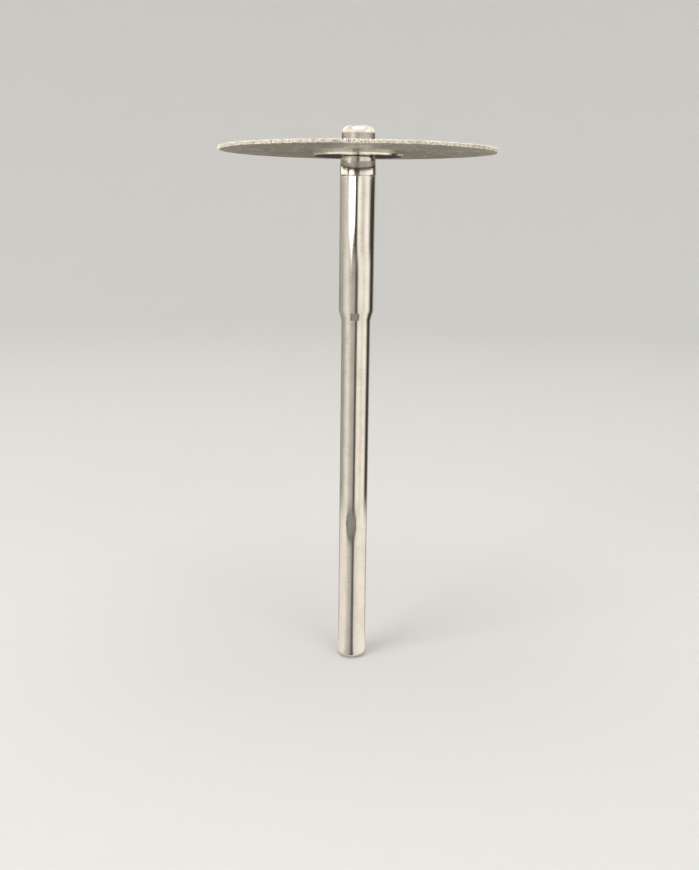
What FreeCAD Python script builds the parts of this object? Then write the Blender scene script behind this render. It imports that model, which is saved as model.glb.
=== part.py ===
import FreeCAD, Part
import math
import os
import Sketcher

# Dental diamond disc: a thin disc coated with diamond grit, held on a straight-handpiece mandrel
# between a washer and a small cap. Everything is turned, so each piece is a revolved half profile.
# Millimetres. The origin is the centre of the shank's end face, and +Z runs along the axis towards the
# cap. Each half profile is drawn from the middle of the disc, and its piece is then set up to that height.

SIZES = {
    # Disc
    "disc_diameter": 22.0,
    "core_thickness": 0.20,
    "coat_thickness": 0.04,
    "coat_start_diameter": 8.0,
    "rim_round": 0.09,
    # Washer under the disc
    "flange_diameter": 7.2,
    "flange_thickness": 0.35,
    "flange_bevel": 0.14,
    # Spigot and its fits
    "spigot_diameter": 1.6,
    "spigot_depth": 1.1,
    "spigot_chamfer": 0.12,
    "bore_clearance": 0.01,
    # Cap
    "cap_diameter": 2.6,
    "cap_height": 1.74,
    "cap_round": 0.55,
    "cap_bore_spare": 0.12,
    # Crown: the gently barrelled top of the neck that carries the washer, above a fine turned line
    "crown_length": 1.43,
    "crown_proud": 0.03,
    "crown_taper": 0.08,
    "crown_barrel_radius": 12.4,
    "crown_round": 0.25,
    "line_width": 0.10,
    "line_depth": 0.04,
    # Neck, shoulder and shank
    "neck_step": 0.225,
    "neck_length": 10.65,
    "shoulder_length": 0.80,
    "shoulder_round": 0.80,
    "shank_diameter": 2.35,
    "shank_chamfer": 0.30,
    "overall_length": 44.5,
}


def make_sheet(doc):
    """Spreadsheet with one named cell for each driving size."""
    sheet = doc.addObject("Spreadsheet::Sheet", "Sizes")
    for row, (name, value) in enumerate(SIZES.items(), start=1):
        sheet.set(f"A{row}", name)
        sheet.set(f"B{row}", str(value))
        sheet.setAlias(f"B{row}", name)
    doc.recompute()


def cell(name):
    """Expression that reads one size of the sheet."""
    return f"<<Sizes>>.{name}"


def origin_plane(body, role):
    """One of the body's own origin planes, found by its role."""
    for feature in body.Origin.OriginFeatures:
        if feature.Role == role:
            return feature
    raise ValueError(role)


def bind(sketch, index, expression):
    """Tie a sketch dimension to the sheet."""
    sketch.setExpression(f"Constraints[{index}]", expression)


def turned_sketch(body, name, corners, bulges=None):
    """Closed half profile on the XZ plane, walked up its outer side.

    Each corner is a pair of expressions: radius, height. The side that leaves a corner is straight, or an
    arc that bulges outwards where bulges pairs the corner's number with a radius, also an expression.
    """
    bulges = bulges or {}
    sketch = body.newObject("Sketcher::SketchObject", name)
    sketch.AttachmentSupport = (origin_plane(body, "XZ_Plane"), [""])
    sketch.MapMode = "FlatFace"
    places = [FreeCAD.Vector(value_of(sketch, radius), value_of(sketch, height), 0) for radius, height in corners]
    count = len(places)
    for index in range(count):
        start = places[index]
        end = places[(index + 1) % count]
        if index in bulges:
            side = arc_side(start, end, value_of(sketch, bulges[index]))
        else:
            side = Part.LineSegment(start, end)
        sketch.addGeometry(side, False)
    for index in range(count):
        sketch.addConstraint(Sketcher.Constraint("Coincident", index, 2, (index + 1) % count, 1))
    for index, (radius, height) in enumerate(corners):
        across = Sketcher.Constraint("DistanceX", -1, 1, index, 1, places[index].x)
        bind(sketch, sketch.addConstraint(across), radius)
        along = Sketcher.Constraint("DistanceY", -1, 1, index, 1, places[index].y)
        bind(sketch, sketch.addConstraint(along), height)
    for index, radius in bulges.items():
        size = Sketcher.Constraint("Radius", index, value_of(sketch, radius))
        bind(sketch, sketch.addConstraint(size), radius)
    sketch.Visibility = False
    return sketch


def arc_side(start, end, radius):
    """Arc that turns left from start to end, with its centre on the left of that walk."""
    chord = end.sub(start)
    left = FreeCAD.Vector(-chord.y, chord.x, 0).normalize()
    reach = math.sqrt(radius ** 2 - (chord.Length / 2) ** 2)
    centre = (start + end) / 2 + left * reach
    angles = [math.atan2(point.y - centre.y, point.x - centre.x) for point in (start, end)]
    return Part.ArcOfCircle(Part.Circle(centre, FreeCAD.Vector(0, 0, 1), radius), *angles)


def value_of(owner, expression):
    """Number that an expression gives now."""
    return float(owner.evalExpression(expression))


def revolve(body, sketch):
    """Full turn of a half profile about the body's Z axis."""
    feature = body.newObject("PartDesign::Revolution", sketch.Name + "Turn")
    feature.Profile = sketch
    feature.ReferenceAxis = (sketch, ["V_Axis"])
    feature.Angle = 360.0
    return feature


def round_edges(body, base, name, radius_cell, rings):
    """Round the circular edges that have the given radii and heights."""
    fillet = body.newObject("PartDesign::Fillet", name)
    fillet.Base = (base, ring_edges(base, rings))
    fillet.setExpression("Radius", cell(radius_cell))
    return fillet


def bevel_edges(body, base, name, size_cell, rings):
    """Bevel the circular edges that have the given radii and heights."""
    chamfer = body.newObject("PartDesign::Chamfer", name)
    chamfer.Base = (base, ring_edges(base, rings))
    chamfer.setExpression("Size", cell(size_cell))
    return chamfer


def ring_edges(feature, rings):
    """Names of the full circles of a feature that match pairs of radius and height."""
    tolerance = 1e-4
    found = []
    for radius, height in rings:
        radius_now = value_of(feature, radius)
        height_now = value_of(feature, height)
        for number, edge in enumerate(feature.Shape.Edges, start=1):
            curve = edge.Curve
            if not isinstance(curve, Part.Circle):
                continue
            if abs(curve.Radius - radius_now) < tolerance and abs(curve.Center.z - height_now) < tolerance:
                found.append(f"Edge{number}")
    if len(found) != len(rings):
        raise ValueError(f"{feature.Label}: {len(found)} of {len(rings)} edges found")
    return found


def half(name):
    """Radius of a size that the sheet holds as a diameter."""
    return f"{cell(name)} / 2"


# Heights along the axis, as expressions

CORE_FACE = half("core_thickness")
COAT_FACE = f"{CORE_FACE} + {cell('coat_thickness')}"
SEAT = f"-({CORE_FACE} + {cell('flange_thickness')})"
LINE = f"{SEAT} - {cell('crown_length')}"
NECK_END = f"{LINE} - {cell('neck_length')}"
SHANK_START = f"{NECK_END} - {cell('shoulder_length')}"
CAP_TOP = f"{CORE_FACE} + {cell('cap_height')}"
SHANK_END = f"{CAP_TOP} - {cell('overall_length')}"
SPIGOT_TOP = f"{CORE_FACE} + {cell('spigot_depth')}"

# Radii that hang on others, as expressions

BORE_RADIUS = f"{half('spigot_diameter')} + {cell('bore_clearance')}"
NECK_RADIUS = f"{half('shank_diameter')} + {cell('neck_step')}"
CROWN_RADIUS = f"{NECK_RADIUS} + {cell('crown_proud')}"
CROWN_TOP_RADIUS = f"{CROWN_RADIUS} - {cell('crown_taper')}"


def make_mandrel(doc):
    """Shank, shoulder, neck, crown and spigot, turned from one bar."""
    body = doc.addObject("PartDesign::Body", "mandrel")
    crown_side = 6
    profile = turned_sketch(body, "MandrelProfile", [
        ("0", SHANK_END),
        (half("shank_diameter"), SHANK_END),
        (half("shank_diameter"), SHANK_START),
        (NECK_RADIUS, NECK_END),
        (NECK_RADIUS, f"{LINE} - {cell('line_width')}"),
        (f"{NECK_RADIUS} - {cell('line_depth')}", LINE),
        (CROWN_RADIUS, LINE),
        (CROWN_TOP_RADIUS, SEAT),
        (half("spigot_diameter"), SEAT),
        (half("spigot_diameter"), SPIGOT_TOP),
        ("0", SPIGOT_TOP),
    ], bulges={crown_side: cell("crown_barrel_radius")})
    turned = revolve(body, profile)
    doc.recompute()
    shoulder = round_edges(body, turned, "ShoulderRound", "shoulder_round", [
        (NECK_RADIUS, NECK_END),
        (half("shank_diameter"), SHANK_START),
    ])
    doc.recompute()
    crown = round_edges(body, shoulder, "CrownRound", "crown_round", [(CROWN_TOP_RADIUS, SEAT)])
    doc.recompute()
    shank = bevel_edges(body, crown, "ShankChamfer", "shank_chamfer", [(half("shank_diameter"), SHANK_END)])
    doc.recompute()
    bevel_edges(body, shank, "SpigotChamfer", "spigot_chamfer", [(half("spigot_diameter"), SPIGOT_TOP)])
    doc.recompute()
    return body


def make_backing_flange(doc):
    """Washer between the mandrel's seat and the disc, bevelled on its lower edge."""
    body = doc.addObject("PartDesign::Body", "backing_flange")
    profile = turned_sketch(body, "FlangeProfile", [
        (BORE_RADIUS, SEAT),
        (half("flange_diameter"), SEAT),
        (half("flange_diameter"), f"-({CORE_FACE})"),
        (BORE_RADIUS, f"-({CORE_FACE})"),
    ])
    turned = revolve(body, profile)
    doc.recompute()
    bevel_edges(body, turned, "LowerBevel", "flange_bevel", [(half("flange_diameter"), SEAT)])
    return body


def make_diamond_disc(doc):
    """Steel core, bare round its bore, with the coat raised on both faces and over the rim."""
    body = doc.addObject("PartDesign::Body", "diamond_disc")
    profile = turned_sketch(body, "DiscProfile", [
        (BORE_RADIUS, f"-({CORE_FACE})"),
        (half("coat_start_diameter"), f"-({CORE_FACE})"),
        (f"{half('coat_start_diameter')} + {cell('coat_thickness')}", f"-({COAT_FACE})"),
        (half("disc_diameter"), f"-({COAT_FACE})"),
        (half("disc_diameter"), COAT_FACE),
        (f"{half('coat_start_diameter')} + {cell('coat_thickness')}", COAT_FACE),
        (half("coat_start_diameter"), CORE_FACE),
        (BORE_RADIUS, CORE_FACE),
    ])
    turned = revolve(body, profile)
    doc.recompute()
    round_edges(body, turned, "RimRound", "rim_round", [
        (half("disc_diameter"), f"-({COAT_FACE})"),
        (half("disc_diameter"), COAT_FACE),
    ])
    return body


def make_retaining_cap(doc):
    """Flat-topped cap with a rounded upper edge, pressed on the spigot through a blind bore."""
    body = doc.addObject("PartDesign::Body", "retaining_cap")
    bore_end = f"{SPIGOT_TOP} + {cell('cap_bore_spare')}"
    profile = turned_sketch(body, "CapProfile", [
        ("0", bore_end),
        (BORE_RADIUS, bore_end),
        (BORE_RADIUS, CORE_FACE),
        (half("cap_diameter"), CORE_FACE),
        (half("cap_diameter"), CAP_TOP),
        ("0", CAP_TOP),
    ])
    turned = revolve(body, profile)
    doc.recompute()
    round_edges(body, turned, "TopRound", "cap_round", [(half("cap_diameter"), CAP_TOP)])
    return body


def check(doc, parts):
    """Stop if a feature failed or a part has no sound solid."""
    for item in doc.Objects:
        if "Invalid" in item.State or "Error" in item.State:
            raise ValueError(f"{item.Label}: {item.State}")
    for part in parts:
        if part.Shape.isNull() or not part.Shape.isValid() or len(part.Shape.Solids) != 1:
            raise ValueError(f"{part.Label}: no sound solid")


def main():
    os.makedirs("parts", exist_ok=True)
    doc = FreeCAD.newDocument("dental_disc")
    make_sheet(doc)
    parts = [make_mandrel(doc), make_backing_flange(doc), make_diamond_disc(doc), make_retaining_cap(doc)]
    for part in parts:
        part.setExpression("Placement.Base.z", f"-({SHANK_END})")
    doc.recompute()
    check(doc, parts)
    for part in parts:
        part.Shape.exportStep(os.path.join("parts", part.Label + ".step"))
        box = part.Shape.optimalBoundingBox(False, False)
        print(f"{part.Label}: {part.Shape.Volume:.2f} mm3, {box.XLength:.2f} mm across, "
              f"Z {box.ZMin:.3f} to {box.ZMax:.3f}")


main()
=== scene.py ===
import math

import bpy
import numpy as np
from mathutils import Euler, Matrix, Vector


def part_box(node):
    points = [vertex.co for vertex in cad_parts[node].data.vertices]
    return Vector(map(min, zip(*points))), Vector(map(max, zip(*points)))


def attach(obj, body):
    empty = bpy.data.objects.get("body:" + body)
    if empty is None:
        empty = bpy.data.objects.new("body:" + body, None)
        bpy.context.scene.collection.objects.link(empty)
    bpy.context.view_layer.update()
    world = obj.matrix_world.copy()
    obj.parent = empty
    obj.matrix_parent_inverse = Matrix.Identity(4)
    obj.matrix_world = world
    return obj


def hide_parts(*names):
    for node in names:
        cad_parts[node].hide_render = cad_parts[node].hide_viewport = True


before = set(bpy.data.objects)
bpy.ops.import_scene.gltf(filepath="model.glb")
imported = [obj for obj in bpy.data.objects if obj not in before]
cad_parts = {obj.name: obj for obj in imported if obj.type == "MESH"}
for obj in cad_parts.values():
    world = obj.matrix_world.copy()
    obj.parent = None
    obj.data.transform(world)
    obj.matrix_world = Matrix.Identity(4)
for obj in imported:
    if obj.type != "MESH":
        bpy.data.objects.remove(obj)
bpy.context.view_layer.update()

# A thin diamond-coated disc on a polished steel mandrel. The turned pieces keep their solids and get
# their finish here; the coat of the disc gets its single grains. Metres, +Z along the axis to the cap.

MM = 0.001

# Sizes read from the frame
DISC_LOW, DISC_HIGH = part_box("diamond_disc")
DISC_RADIUS = DISC_HIGH.x
DISC_MIDDLE = (DISC_LOW.z + DISC_HIGH.z) / 2
COAT_HALF = (DISC_HIGH.z - DISC_LOW.z) / 2
WASHER_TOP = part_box("backing_flange")[1].z
CORE_HALF = DISC_MIDDLE - WASHER_TOP

# Camera, worked out from the disc and the shank in the photograph
PHOTO_HEIGHT = 870
FOCAL_PIXELS = 975
CAMERA_DISTANCE = 79.58 * MM
CAMERA_BELOW_DISC = 4.710 * MM
CAMERA_LEFT = 0.399 * MM
CAMERA_PITCH = math.radians(12.885)
CAMERA_ROLL = math.radians(0.741)
CAMERA_CLIP = (1 * MM, 10)
SENSOR_LONG_SIDE = 36

# Finish of the mandrel: noise per mm along each axis, depths of the marks in metres
NOISE_ROUGHNESS = 0.55
NOISE_SPAN = (0.3, 0.7)
POLISHED_RINGS = (1.5, 1.5, 26.0)
POLISHED_LINES = (9.0, 9.0, 0.35)
POLISHED_CLOUD = (0.9, 0.9, 0.45)
POLISHED_RING_SHARE = 0.4
POLISHED_TONES = (
    (0.30, (0.66, 0.63, 0.59)),
    (0.52, (0.80, 0.775, 0.74)),
    (0.75, (0.87, 0.85, 0.82)))
POLISHED_ROUGHNESS = (0.07, 0.13)
POLISHED_LINE_DEPTH = 1.2e-6
POLISHED_RING_DEPTH = 0.35e-6
HEAD_HEIGHTS = (40.9, 41.4)
HEAD_ROUGHNESS_CHANGE = -0.02

# Finish of the washer and the cap
SATIN_TINT = (1.0, 0.96, 0.90)
SATIN_RINGS_PER_MM = 18.0
SATIN_CLOUDS_PER_MM = 1.6
SATIN_CLOUD_ROUGHNESS = (0.08, -0.04)
SATIN_RING_ROUGHNESS = (0.0, 0.06)
WASHER_ROUGHNESS = 0.07
WASHER_RING_DEPTH = 0.4e-6
WASHER_TONES = ((0.30, 0.74), (0.55, 0.88), (0.80, 0.94))
CAP_ROUGHNESS = 0.20
CAP_RING_DEPTH = 1.2e-6
CAP_TONES = ((0.30, 0.58), (0.55, 0.73), (0.80, 0.83))

# Shape of the coat
COAT_START = 4.02 * MM
COAT_STEP = 0.01 * MM
BORE_RADIUS = 0.81 * MM
BOND_DEPTH = 0.035 * MM
BOND_CORNER_SHARE = 0.6
BOND_CORNER_POINTS = 6
GRAIN_SEED = 20
GRAIN_PITCH = 0.14 * MM
GRAIN_RADIUS = (0.055 * MM, 0.100 * MM)
GRAIN_STRETCH = (0.75, 1.2)
FACE_EDGE_GAP = 0.05 * MM
FACE_JITTER = 0.35
FACE_UNEVENNESS = 0.040 * MM
RIM_ROWS = 4
RIM_ROW_INSET = 0.06 * MM
RIM_TURN_JITTER = 0.3
RIM_HEIGHT_JITTER = 0.2
RIM_UNEVENNESS = 0.055 * MM
RIM_REACH = 0.99985 * DISC_RADIUS
TURN_STEPS = 256

# Finish of the coat
COAT_TINT = (1.0, 0.93, 0.82)
SWIRL_PER_MM = 1.3
SWIRL_PER_RADIAN = 3.5
CLUSTERS_PER_MM = 1.9
CLUSTER_SHARE = 0.4
COAT_CLOUD_SPAN = (0.38, 0.62)
NICKEL_METALLIC = 0.6
NICKEL_TONES = (
    (0.0, (0.34, 0.315, 0.275)),
    (0.5, (0.42, 0.39, 0.34)),
    (1.0, (0.51, 0.475, 0.415)))
NICKEL_LUMPS_PER_MM = 7.0
NICKEL_LUMP_DEPTH = 12e-6
NICKEL_ROUGHNESS = (0.34, 0.52)
GRAIN_IOR = 1.9
GRAIN_ROUGHNESS = (0.42, 0.20)
FACETS_PER_MM = 30.0
FACET_DEPTH = 3e-6
# The lower face's tones span wider than the upper face's and reach lighter: painted light that lifts the
# shaded underside and stands in for its glints.
LOWER_TONES = ((0.15, 0.07), (0.38, 0.24), (0.60, 0.74), (0.82, 0.98))
UPPER_TONES = ((0.15, 0.14), (0.40, 0.36), (0.60, 0.56), (0.85, 0.92))
# The rim's grit is painted far lighter than the faces' grit: a painted highlight of the front-lit rim.
RIM_PAINTED_LIGHT_TONES = ((0.10, 0.70), (0.40, 0.90), (0.60, 0.96), (0.90, 0.98))

# Floor: round and flat, swept up all round into a wall
FLOOR_HOLE_RADIUS = 0.0001
FLOOR_RADIUS = 0.25
BEND_RADIUS = 0.35
BEND_POINTS = 25
WALL_TOP = 0.9
FLOOR_STEPS = 128
FLOOR_COLOUR = (0.72, 0.715, 0.705)
FLOOR_ROUGHNESS = 0.7

# Lamps: name, bearing and elevation in degrees, distance and side in metres, radiance, seen in gloss
LAMP_TINT = (1.0, 0.975, 0.93)
LAMPS = (
    ("window", -50, 20, 0.40, 0.25, 4.6, False),
    ("box_front_right", 30, 25, 0.40, 0.25, 1.7, False),
    ("overhead", 0, 82, 0.42, 0.45, 1.2, True))
WORLD_COLOUR = (0.80, 0.80, 0.79)
WORLD_STRENGTH = 1.0

# Light tent, whose glow paints reflections onto the metal and the grit: bearings in degrees, plus to the
# camera's right, with radiances; changes and edges in mm
TENT_RADIUS = 60 * MM
TENT_HEIGHT = 120 * MM
TENT_HOLE_RADIUS = 1.5 * MM
TENT_MAT_HEIGHT = 0.2 * MM
TENT_STEPS = 96
TENT_TINT = (1.0, 0.94, 0.83)
TENT_WALL_CHANGE = (0.3, 1.0)
TENT_UPPER_CHANGE = (31.2, 33.0)
TENT_CROWN_CHANGE = (43.0, 43.6)
TENT_DARK_CHANGE = (46.0, 46.3)
TENT_DARK_GLOW = 0.04
TENT_TOP_CHANGE = (51.0, 52.5)
TENT_TOP_GLOW = 1.35
TENT_MAT_EDGE = (37.0, 50.0)
TENT_MAT = (
    (-180, 0.45), (-142, 0.50), (-122, 0.92), (-62, 0.98), (-38, 0.70), (-12, 0.45), (-5, 0.16),
    (8, 0.16), (14, 0.82), (38, 0.96), (62, 1.04), (122, 1.00), (138, 0.50), (180, 0.45))
TENT_LOWER = (
    (-180, 0.12), (-168, 0.12), (-158, 0.36), (-105, 0.46), (-90, 0.70), (-62, 0.98), (-48, 0.78),
    (-30, 0.56), (-12, 0.50), (-5, 0.14), (8, 0.14), (13, 0.92), (30, 1.08), (48, 0.92), (58, 0.94),
    (70, 1.12), (86, 1.06), (100, 0.40), (106, 0.06), (136, 0.06), (146, 0.45), (160, 0.40),
    (170, 0.12), (180, 0.12))
TENT_UPPER = (
    (-180, 0.05), (-170, 0.05), (-160, 0.35), (-105, 0.55), (-64, 0.84), (-46, 0.66), (-40, 0.34),
    (-30, 0.06), (-4, 0.06), (0, 0.35), (5, 1.18), (18, 1.22), (24, 0.95), (38, 0.72), (43, 0.88),
    (50, 0.92), (58, 1.14), (73, 1.14), (82, 0.75), (97, 0.06), (136, 0.05), (146, 0.50), (160, 0.45),
    (170, 0.05), (180, 0.05))
TENT_CROWN = (
    (-180, 0.30), (-142, 0.30), (-134, 1.50), (-74, 1.60), (-64, 0.14), (-60, 0.20), (-54, 1.60),
    (-50, 2.40), (-36, 2.40), (-28, 1.40), (-20, 0.14), (8, 0.14), (14, 0.90), (40, 1.10), (60, 1.35),
    (102, 1.30), (112, 0.45), (118, 0.06), (138, 0.06), (148, 0.50), (180, 0.30))

# Painted reflection of a window: a wedge of brighter glow on the tent's upper band
WINDOW_BEARING = -36
WINDOW_GLOW = 2.20
WINDOW_HEIGHTS = (32.5, 36.6)
WINDOW_HALF_WIDTHS = (3.0, 22.0)
WINDOW_EDGE = 0.8

# Painted reflection: a grey patch with a dark edge in the glow of the tent's mat; its edge and its end are
# shares of its reach
PATCH_BEARING = -16
PATCH_RADIUS = 38.0
PATCH_HALF_TURN = 44.0
PATCH_HALF_DEPTH = 6.5
PATCH_GLOW = 0.34
PATCH_EDGE = (0.72, 0.80)
PATCH_EDGE_GLOW = 0.05
PATCH_END = (0.94, 1.06)


# Camera

def make_camera():
    """Camera at the photograph's place: a little under the disc, tilted down along the shank."""
    data = bpy.data.cameras.new("camera")
    data.sensor_width = SENSOR_LONG_SIDE
    data.lens = SENSOR_LONG_SIDE * FOCAL_PIXELS / PHOTO_HEIGHT
    data.clip_start, data.clip_end = CAMERA_CLIP
    camera = bpy.data.objects.new("camera", data)
    camera.location = (-CAMERA_LEFT, -CAMERA_DISTANCE, DISC_MIDDLE - CAMERA_BELOW_DISC)
    tilt = Euler((math.radians(90) - CAMERA_PITCH, 0, 0)).to_matrix()
    roll = Euler((0, 0, CAMERA_ROLL)).to_matrix()
    camera.rotation_euler = (tilt @ roll).to_euler()
    bpy.context.scene.collection.objects.link(camera)
    bpy.context.scene.camera = camera


# Mesh helpers

def mesh_object(name, points, faces, smooth=False):
    """Object in the scene from lists of points and faces."""
    data = bpy.data.meshes.new(name)
    data.from_pydata(points, [], faces)
    data.validate()
    if smooth:
        data.shade_smooth()
    result = bpy.data.objects.new(name, data)
    bpy.context.scene.collection.objects.link(result)
    return result


def revolved(name, line, steps, closed=False, smooth=False):
    """Surface swept round Z by a line of radius and height pairs; a closed line gives a closed body."""
    angles = np.arange(steps) * 2 * math.pi / steps
    points = [(radius * math.cos(angle), radius * math.sin(angle), height)
              for radius, height in line for angle in angles]
    faces = []
    for ring in range(len(line) if closed else len(line) - 1):
        low = ring * steps
        high = (ring + 1) % len(line) * steps
        for step in range(steps):
            across = (step + 1) % steps
            faces.append((low + step, low + across, high + across, high + step))
    return mesh_object(name, points, faces, smooth)


# Node helpers

def tinted(level, tint):
    """Colour of a tint at a brightness."""
    return tuple(level * part for part in tint)


class Shader:
    """Small wrapper that adds and links the nodes of one material."""

    def __init__(self, name, metallic):
        self.material = bpy.data.materials.new(name)
        self.material.use_nodes = True
        self.tree = self.material.node_tree
        self.surface = self.tree.nodes["Principled BSDF"]
        self.surface.inputs["Metallic"].default_value = metallic
        position = self.add("ShaderNodeTexCoord").outputs["Object"]
        self.place = self.maths("SCALE", position, scale=1 / MM)

    def add(self, kind, **settings):
        """New node of a kind."""
        node = self.tree.nodes.new(kind)
        for key, value in settings.items():
            setattr(node, key, value)
        return node

    def feed(self, value, target):
        """Link of a socket to an input, or a constant set on it."""
        if isinstance(value, bpy.types.NodeSocket):
            self.tree.links.new(value, target)
        else:
            target.default_value = value

    def maths(self, operation, vector, other=None, scale=None):
        """Vector maths on one vector, with another vector or a scale."""
        node = self.add("ShaderNodeVectorMath", operation=operation)
        self.feed(vector, node.inputs[0])
        if other is not None:
            self.feed(other, node.inputs[1])
        if scale is not None:
            node.inputs["Scale"].default_value = scale
        return node.outputs["Vector"]

    def length(self, vector):
        """Length of a vector."""
        node = self.add("ShaderNodeVectorMath", operation="LENGTH")
        self.feed(vector, node.inputs[0])
        return node.outputs["Value"]

    def part(self, axis):
        """Place in mm along one axis."""
        node = self.add("ShaderNodeSeparateXYZ")
        self.feed(self.place, node.inputs[0])
        return node.outputs[axis]

    def vector(self, **parts):
        """Vector from some of its parts, X, Y or Z."""
        node = self.add("ShaderNodeCombineXYZ")
        for axis, value in parts.items():
            self.feed(value, node.inputs[axis])
        return node.outputs["Vector"]

    def stretched(self, factor):
        """Place in mm, multiplied by a factor along each axis."""
        return self.maths("MULTIPLY", self.place, factor)

    def flat(self):
        """Place in mm without its height."""
        return self.stretched((1.0, 1.0, 0.0))

    def noise(self, vector, scale=1.0, detail=3.0):
        """Noise between 0 and 1."""
        node = self.add("ShaderNodeTexNoise")
        self.feed(vector, node.inputs["Vector"])
        self.feed(scale, node.inputs["Scale"])
        self.feed(detail, node.inputs["Detail"])
        self.feed(NOISE_ROUGHNESS, node.inputs["Roughness"])
        return node.outputs["Fac"]

    def remap(self, value, span, result=(0.0, 1.0)):
        """Value with a span of it stretched to the result's span, and held to that."""
        node = self.add("ShaderNodeMapRange")
        self.feed(value, node.inputs["Value"])
        for socket, number in zip(("From Min", "From Max", "To Min", "To Max"), (*span, *result)):
            self.feed(number, node.inputs[socket])
        return node.outputs["Result"]

    def calculate(self, operation, first, second=0.0):
        """Scalar maths; either input may be a number or a socket."""
        node = self.add("ShaderNodeMath", operation=operation)
        self.feed(first, node.inputs[0])
        self.feed(second, node.inputs[1])
        return node.outputs["Value"]

    def weighted(self, first, second, share):
        """Sum of two values, where share is the weight of the second."""
        return self.calculate("ADD", self.calculate("MULTIPLY", first, 1 - share),
                              self.calculate("MULTIPLY", second, share))

    def ramp(self, value, stops):
        """Colour ramp with stops of position and colour."""
        node = self.add("ShaderNodeValToRGB")
        elements = node.color_ramp.elements
        while len(elements) < len(stops):
            elements.new(1.0)
        for element, (position, colour) in zip(elements, stops):
            element.position = position
            element.color = (*colour, 1)
        self.feed(value, node.inputs["Fac"])
        return node.outputs["Color"]

    def tones(self, value, stops, tint):
        """Colour ramp of one tint, with stops of position and brightness."""
        return self.ramp(value, [(position, tinted(level, tint)) for position, level in stops])

    def mix(self, factor, low, high):
        """Mix of two colours, each a socket or a constant."""
        node = self.add("ShaderNodeMix", data_type="RGBA")
        self.feed(factor, node.inputs["Factor"])
        sockets = [socket for socket in node.inputs if socket.type == "RGBA"]
        for socket, value in zip(sockets, (low, high)):
            self.feed((*value, 1) if isinstance(value, tuple) else value, socket)
        return next(socket for socket in node.outputs if socket.type == "RGBA")

    def bump(self, height, distance, under=None):
        """Bump of a height between 0 and 1, whose full depth is distance in metres."""
        node = self.add("ShaderNodeBump")
        self.feed(distance, node.inputs["Distance"])
        self.feed(height, node.inputs["Height"])
        if under is not None:
            self.feed(under, node.inputs["Normal"])
        return node.outputs["Normal"]

    def finish(self, colour, roughness, normal):
        """Links to the surface; gives the finished material."""
        self.feed(colour, self.surface.inputs["Base Color"])
        self.feed(roughness, self.surface.inputs["Roughness"])
        self.feed(normal, self.surface.inputs["Normal"])
        return self.material


# Materials

def polished_steel():
    """Bright turned steel: fine rings round the axis, faint drawn lines along it, a glossier head."""
    shader = Shader("polished_steel", metallic=1.0)
    rings = shader.noise(shader.stretched(POLISHED_RINGS), detail=4.0)
    lines = shader.noise(shader.stretched(POLISHED_LINES), detail=3.0)
    cloud = shader.noise(shader.stretched(POLISHED_CLOUD), detail=2.0)
    tone = shader.ramp(shader.weighted(cloud, rings, POLISHED_RING_SHARE), POLISHED_TONES)
    head = shader.remap(shader.part("Z"), HEAD_HEIGHTS)
    roughness = shader.calculate("ADD", shader.remap(rings, NOISE_SPAN, POLISHED_ROUGHNESS),
                                 shader.calculate("MULTIPLY", head, HEAD_ROUGHNESS_CHANGE))
    normal = shader.bump(lines, POLISHED_LINE_DEPTH)
    normal = shader.bump(rings, POLISHED_RING_DEPTH, under=normal)
    return shader.finish(tone, roughness, normal)


def satin_steel(name, roughness, ring_depth, tones):
    """Satin steel with turned rings about the axis, for the washer and the cap."""
    shader = Shader(name, metallic=1.0)
    along_section = shader.calculate("ADD", shader.length(shader.flat()), shader.part("Z"))
    rings = shader.noise(shader.vector(X=along_section), scale=SATIN_RINGS_PER_MM, detail=4.0)
    cloud = shader.noise(shader.place, scale=SATIN_CLOUDS_PER_MM, detail=4.0)
    tone = shader.tones(cloud, tones, SATIN_TINT)
    cloudy = shader.remap(cloud, NOISE_SPAN, [roughness + change for change in SATIN_CLOUD_ROUGHNESS])
    ringed = shader.remap(rings, NOISE_SPAN, SATIN_RING_ROUGHNESS)
    normal = shader.bump(rings, ring_depth)
    return shader.finish(tone, shader.calculate("ADD", cloudy, ringed), normal)


def coat_cloud(shader):
    """Faint swirl marks round the axis over small clusters of lighter and darker coat."""
    flat = shader.flat()
    outward = shader.vector(Z=shader.calculate("MULTIPLY", shader.length(flat), SWIRL_PER_MM))
    around = shader.maths("SCALE", shader.maths("NORMALIZE", flat), scale=SWIRL_PER_RADIAN)
    swirls = shader.noise(shader.maths("ADD", around, outward))
    clusters = shader.noise(shader.place, scale=CLUSTERS_PER_MM)
    return shader.remap(shader.weighted(swirls, clusters, CLUSTER_SHARE), COAT_CLOUD_SPAN)


def nickel_bond():
    """Plated nickel between the grains, and the bare steel round the bore."""
    shader = Shader("nickel_bond", NICKEL_METALLIC)
    lumps = shader.noise(shader.place, scale=NICKEL_LUMPS_PER_MM, detail=5.0)
    tone = shader.ramp(coat_cloud(shader), NICKEL_TONES)
    roughness = shader.remap(lumps, NOISE_SPAN, NICKEL_ROUGHNESS)
    normal = shader.bump(lumps, NICKEL_LUMP_DEPTH)
    return shader.finish(tone, roughness, normal)


def diamond_grain(name, metallic, share, tones):
    """Grains plated in with nickel, each with a tone of its own; share is the weight of the swirl marks."""
    shader = Shader(name, metallic)
    shader.surface.inputs["IOR"].default_value = GRAIN_IOR
    own_tone = shader.add("ShaderNodeAttribute", attribute_name="grain_tone").outputs["Fac"]
    tone = shader.tones(shader.weighted(own_tone, coat_cloud(shader), share), tones, COAT_TINT)
    roughness = shader.remap(own_tone, (0.0, 1.0), GRAIN_ROUGHNESS)
    facets = shader.noise(shader.place, scale=FACETS_PER_MM, detail=2.0)
    normal = shader.bump(facets, FACET_DEPTH)
    return shader.finish(tone, roughness, normal)


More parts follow.
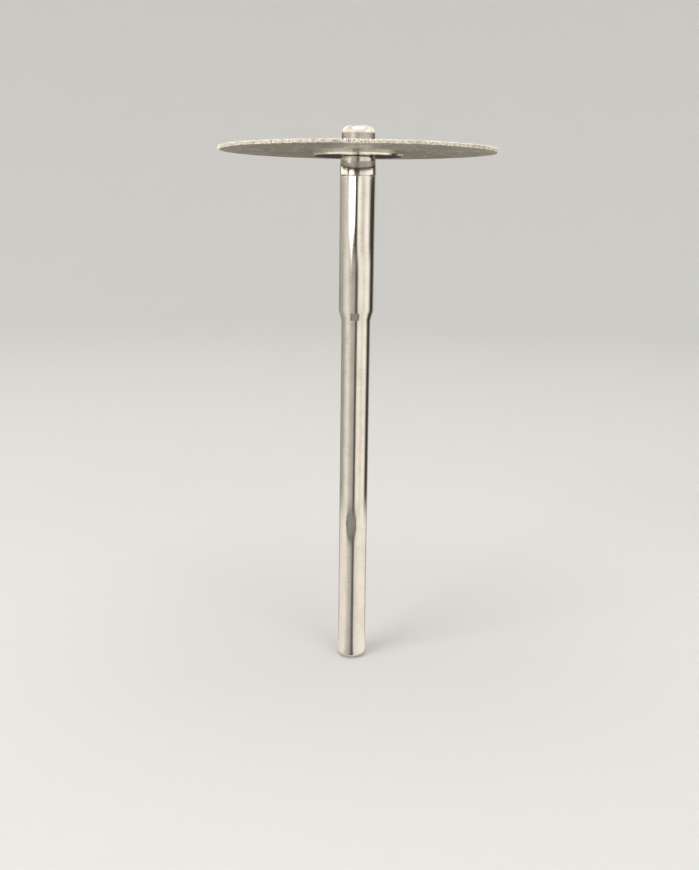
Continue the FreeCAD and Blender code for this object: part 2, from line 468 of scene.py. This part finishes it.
def dress_solids():
    """Finish of the turned solids, which keep their shape."""
    for node, material in (
        ("mandrel", polished_steel()),
        ("backing_flange", satin_steel("washer_steel", WASHER_ROUGHNESS, WASHER_RING_DEPTH, WASHER_TONES)),
        ("retaining_cap", satin_steel("cap_steel", CAP_ROUGHNESS, CAP_RING_DEPTH, CAP_TONES)),
    ):
        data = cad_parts[node].data
        data.materials.clear()
        data.materials.append(material)


# Coat of the disc

def make_disc_core():
    """Core with its bond layer, just inside the solid, so that the grains reach the solid's faces."""
    bond_half = COAT_HALF - BOND_DEPTH
    edge = DISC_RADIUS - BOND_DEPTH - RIM_UNEVENNESS / 2
    corner = bond_half * BOND_CORNER_SHARE
    arc = [(edge - corner + corner * math.cos(angle), bond_half - corner + corner * math.sin(angle))
           for angle in np.linspace(0, math.pi / 2, BOND_CORNER_POINTS)]
    upper = [*arc, (COAT_START, bond_half), (COAT_START - COAT_STEP, CORE_HALF), (BORE_RADIUS, CORE_HALF)]
    lower = [(radius, -height) for radius, height in reversed(upper)]
    profile = [(radius, DISC_MIDDLE + height) for radius, height in lower + upper]
    core = revolved("disc_core", profile, TURN_STEPS, closed=True)
    core.data.materials.append(nickel_bond())
    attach(core, "root")
    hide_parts("diamond_disc")


def turn_matrices(quaternions):
    """Rotation matrices from rows of unit quaternions."""
    w, x, y, z = quaternions.T
    return np.stack([
        np.stack([1 - 2 * (y * y + z * z), 2 * (x * y - w * z), 2 * (x * z + w * y)], axis=1),
        np.stack([2 * (x * y + w * z), 1 - 2 * (x * x + z * z), 2 * (y * z - w * x)], axis=1),
        np.stack([2 * (x * z - w * y), 2 * (y * z + w * x), 1 - 2 * (x * x + y * y)], axis=1),
    ], axis=1)


def grain_shapes(centres, radii, generator):
    """Points and faces of one eight-faced grain at each centre, each turned and stretched its own way."""
    count = len(centres)
    corners = np.array([(1, 0, 0), (0, 1, 0), (-1, 0, 0), (0, -1, 0), (0, 0, 1), (0, 0, -1)], float)
    shapes = corners[None] * generator.uniform(*GRAIN_STRETCH, (count, len(corners), 1))
    quaternions = generator.normal(size=(count, 4))
    quaternions /= np.linalg.norm(quaternions, axis=1, keepdims=True)
    shapes = np.einsum("nij,nkj->nki", turn_matrices(quaternions), shapes) * radii[:, None, None]
    points = (shapes + centres[:, None]).reshape(-1, 3)
    sides = np.array([(0, 1, 4), (1, 2, 4), (2, 3, 4), (3, 0, 4), (1, 0, 5), (2, 1, 5), (3, 2, 5), (0, 3, 5)])
    faces = (sides[None] + len(corners) * np.arange(count)[:, None, None]).reshape(-1, 3)
    return points, faces


def grain_piece(name, centres, radii, generator, material):
    """One piece of many grains, kept inside the disc's solid, with a tone for each grain."""
    points, faces = grain_shapes(centres, radii, generator)
    points[:, 2] = np.clip(points[:, 2], DISC_LOW.z, DISC_HIGH.z)
    reach = np.linalg.norm(points[:, :2], axis=1)
    points[:, :2] *= np.minimum(1.0, RIM_REACH / reach)[:, None]
    piece = mesh_object(name, points.tolist(), faces.tolist())
    points_a_grain = len(points) // len(centres)
    tones = np.repeat(generator.uniform(0, 1, len(centres)), points_a_grain).astype(np.float32)
    attribute = piece.data.attributes.new("grain_tone", "FLOAT", "POINT")
    attribute.data.foreach_set("value", tones)
    piece.data.materials.append(material)
    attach(piece, "root")


def face_grains(side, generator):
    """Centres and radii of the grains on one face: side is 1 for the cap's face, -1 for the other."""
    places = []
    outer = DISC_RADIUS - BOND_DEPTH - FACE_EDGE_GAP
    for radius in np.arange(COAT_START + GRAIN_PITCH / 2, outer, GRAIN_PITCH):
        count = int(2 * math.pi * radius / GRAIN_PITCH)
        angles = (np.arange(count) + generator.uniform(0, 1)) * 2 * math.pi / count
        angles += generator.uniform(-FACE_JITTER, FACE_JITTER, count) * GRAIN_PITCH / radius
        distances = radius + generator.uniform(-FACE_JITTER, FACE_JITTER, count) * GRAIN_PITCH
        places.append(np.stack([distances * np.cos(angles), distances * np.sin(angles)], axis=1))
    flat = np.concatenate(places)
    radii = generator.uniform(*GRAIN_RADIUS, len(flat))
    sunk = FACE_UNEVENNESS * (1 - generator.uniform(0, 1, len(flat)) ** 2)
    heights = DISC_MIDDLE + side * (COAT_HALF - radii - sunk)
    return np.column_stack([flat, heights]), radii


def rim_grains(generator):
    """Centres and radii of the grains on the rim, in a few jittered rows."""
    rows = []
    count = int(2 * math.pi * DISC_RADIUS / GRAIN_PITCH)
    for height in np.linspace(-1, 1, RIM_ROWS) * (COAT_HALF - RIM_ROW_INSET):
        turns = np.arange(count) + generator.uniform(-RIM_TURN_JITTER, RIM_TURN_JITTER, count)
        heights = height + generator.uniform(-RIM_HEIGHT_JITTER, RIM_HEIGHT_JITTER, count) * GRAIN_PITCH
        rows.append(np.stack([turns * 2 * math.pi / count, heights]))
    angles, heights = np.concatenate(rows, axis=1)
    radii = generator.uniform(*GRAIN_RADIUS, len(angles))
    distances = DISC_RADIUS - radii - generator.uniform(0, RIM_UNEVENNESS, len(angles))
    centres = np.column_stack([distances * np.cos(angles), distances * np.sin(angles), DISC_MIDDLE + heights])
    return centres, radii


def make_grit():
    """Grains on both faces and on the rim."""
    generator = np.random.default_rng(GRAIN_SEED)
    # Painted light: the lower face's grit has lighter, more contrasted tones and a stronger share of the
    # random swirl marks.
    lower = diamond_grain("lower_grit_with_painted_light", metallic=0.25, share=0.62, tones=LOWER_TONES)
    upper = diamond_grain("face_grit", metallic=0.25, share=0.20, tones=UPPER_TONES)
    # Painted highlight: the rim's grit has much lighter tones than the faces' grit.
    rim = diamond_grain("rim_grit_painted_light", metallic=0.10, share=0.40, tones=RIM_PAINTED_LIGHT_TONES)
    grain_piece("grit_lower", *face_grains(-1, generator), generator, lower)
    grain_piece("grit_upper", *face_grains(1, generator), generator, upper)
    grain_piece("grit_rim", *rim_grains(generator), generator, rim)


# Stage and light

def make_floor():
    """Pale floor that sweeps up all round into a pale wall."""
    line = [(FLOOR_HOLE_RADIUS, 0.0), (FLOOR_RADIUS, 0.0)]
    for angle in np.linspace(0, math.pi / 2, BEND_POINTS)[1:]:
        line.append((FLOOR_RADIUS + BEND_RADIUS * math.sin(angle), BEND_RADIUS * (1 - math.cos(angle))))
    line.append((FLOOR_RADIUS + BEND_RADIUS, WALL_TOP))
    floor = revolved("floor_sweep", line, FLOOR_STEPS, smooth=True)
    material = bpy.data.materials.new("pale_floor")
    material.use_nodes = True
    surface = material.node_tree.nodes["Principled BSDF"]
    surface.inputs["Base Color"].default_value = (*FLOOR_COLOUR, 1)
    surface.inputs["Roughness"].default_value = FLOOR_ROUGHNESS
    surface.inputs["Specular IOR Level"].default_value = 0.0
    floor.data.materials.append(material)


def tent_ramp(shader, place, stops):
    """Glow round the tent from stops of bearing and radiance."""
    return shader.tones(place, [((bearing + 180) / 360, level) for bearing, level in stops], TENT_TINT)


def window_share(shader, degrees, height):
    """Share of the window's light: a wedge about its bearing that widens with the height."""
    off_middle = shader.calculate("ABSOLUTE", shader.calculate("SUBTRACT", degrees, WINDOW_BEARING))
    half_width = shader.remap(height, WINDOW_HEIGHTS, WINDOW_HALF_WIDTHS)
    inside = shader.calculate("SUBTRACT", half_width, off_middle)
    return shader.remap(inside, (-WINDOW_EDGE, WINDOW_EDGE))


def patch_distance(shader, degrees, radius):
    """Distance from the middle of the patch on the mat, as a share of its reach each way."""
    turn = shader.calculate("DIVIDE", shader.calculate("SUBTRACT", degrees, PATCH_BEARING), PATCH_HALF_TURN)
    depth = shader.calculate("DIVIDE", shader.calculate("SUBTRACT", radius, PATCH_RADIUS), PATCH_HALF_DEPTH)
    squares = [shader.calculate("POWER", part, 2.0) for part in (turn, depth)]
    return shader.calculate("SQRT", shader.calculate("ADD", *squares))


def tent_material():
    """Glow of the tent, painted reflections for the metal: a mat with a patch, and a wall of three panelled
    bands, a dark band and a top.
    """
    shader = Shader("tent_painted_reflections", metallic=0.0)
    height = shader.part("Z")
    radius = shader.length(shader.place)
    towards_camera = shader.calculate("MULTIPLY", shader.part("Y"), -1.0)
    bearing = shader.calculate("ARCTAN2", shader.part("X"), towards_camera)
    place = shader.remap(bearing, (-math.pi, math.pi))
    degrees = shader.calculate("MULTIPLY", bearing, math.degrees(1))

    lower = tent_ramp(shader, place, TENT_LOWER)
    # Painted reflection of a window: a wedge of brighter glow on the upper band.
    window = window_share(shader, degrees, height)
    upper = shader.mix(window, tent_ramp(shader, place, TENT_UPPER), tinted(WINDOW_GLOW, TENT_TINT))
    wall = lower
    for change, glow in (
        (TENT_UPPER_CHANGE, upper),
        (TENT_CROWN_CHANGE, tent_ramp(shader, place, TENT_CROWN)),
        (TENT_DARK_CHANGE, tinted(TENT_DARK_GLOW, TENT_TINT)),
        (TENT_TOP_CHANGE, tinted(TENT_TOP_GLOW, TENT_TINT)),
    ):
        wall = shader.mix(shader.remap(height, change), wall, glow)

    mat = shader.mix(shader.remap(radius, TENT_MAT_EDGE), tent_ramp(shader, place, TENT_MAT), lower)
    # Painted reflection: a grey patch with a dark edge on the mat.
    from_patch = patch_distance(shader, degrees, radius)
    patch = shader.mix(shader.remap(from_patch, PATCH_EDGE),
                       tinted(PATCH_GLOW, TENT_TINT), tinted(PATCH_EDGE_GLOW, TENT_TINT))
    mat = shader.mix(shader.remap(from_patch, PATCH_END), patch, mat)

    light = shader.add("ShaderNodeEmission")
    shader.feed(shader.mix(shader.remap(height, TENT_WALL_CHANGE), mat, wall), light.inputs["Color"])
    shader.feed(light.outputs["Emission"], shader.tree.nodes["Material Output"].inputs["Surface"])
    return shader.material


def make_tent():
    """Light tent close round the tool, with a mat as its floor, which only glossy surfaces see; its glow
    paints reflections onto them.
    """
    line = [(TENT_HOLE_RADIUS, TENT_MAT_HEIGHT), (TENT_RADIUS, TENT_MAT_HEIGHT), (TENT_RADIUS, TENT_HEIGHT)]
    tent = revolved("light_tent", line, TENT_STEPS, smooth=True)
    tent.data.materials.append(tent_material())
    tent.visible_camera = False
    tent.visible_diffuse = False
    tent.visible_shadow = False
    tent.visible_transmission = False


def soft_light(name, bearing, elevation, distance, side, radiance, in_reflections):
    """Square light seen from the disc at a bearing from the camera's side, plus to the right."""
    data = bpy.data.lights.new(name, "AREA")
    data.shape = "SQUARE"
    data.size = side
    data.energy = radiance * side * side * math.pi
    data.color = LAMP_TINT
    light = bpy.data.objects.new(name, data)
    turn = math.radians(bearing)
    rise = math.radians(elevation)
    away = Vector((math.sin(turn) * math.cos(rise), -math.cos(turn) * math.cos(rise), math.sin(rise)))
    light.location = Vector((0, 0, DISC_MIDDLE)) + away * distance
    light.rotation_euler = (-away).to_track_quat("-Z", "Y").to_euler()
    light.visible_camera = False
    light.visible_glossy = in_reflections
    bpy.context.scene.collection.objects.link(light)


def make_world():
    """Even pale light from all round."""
    world = bpy.data.worlds.new("pale_world")
    world.use_nodes = True
    background = world.node_tree.nodes["Background"]
    background.inputs["Color"].default_value = (*WORLD_COLOUR, 1)
    background.inputs["Strength"].default_value = WORLD_STRENGTH
    bpy.context.scene.world = world


make_camera()
make_disc_core()
make_grit()
dress_solids()
make_floor()
make_tent()
for lamp in LAMPS:
    soft_light(*lamp)
make_world()
bpy.context.scene.view_settings.view_transform = "Standard"
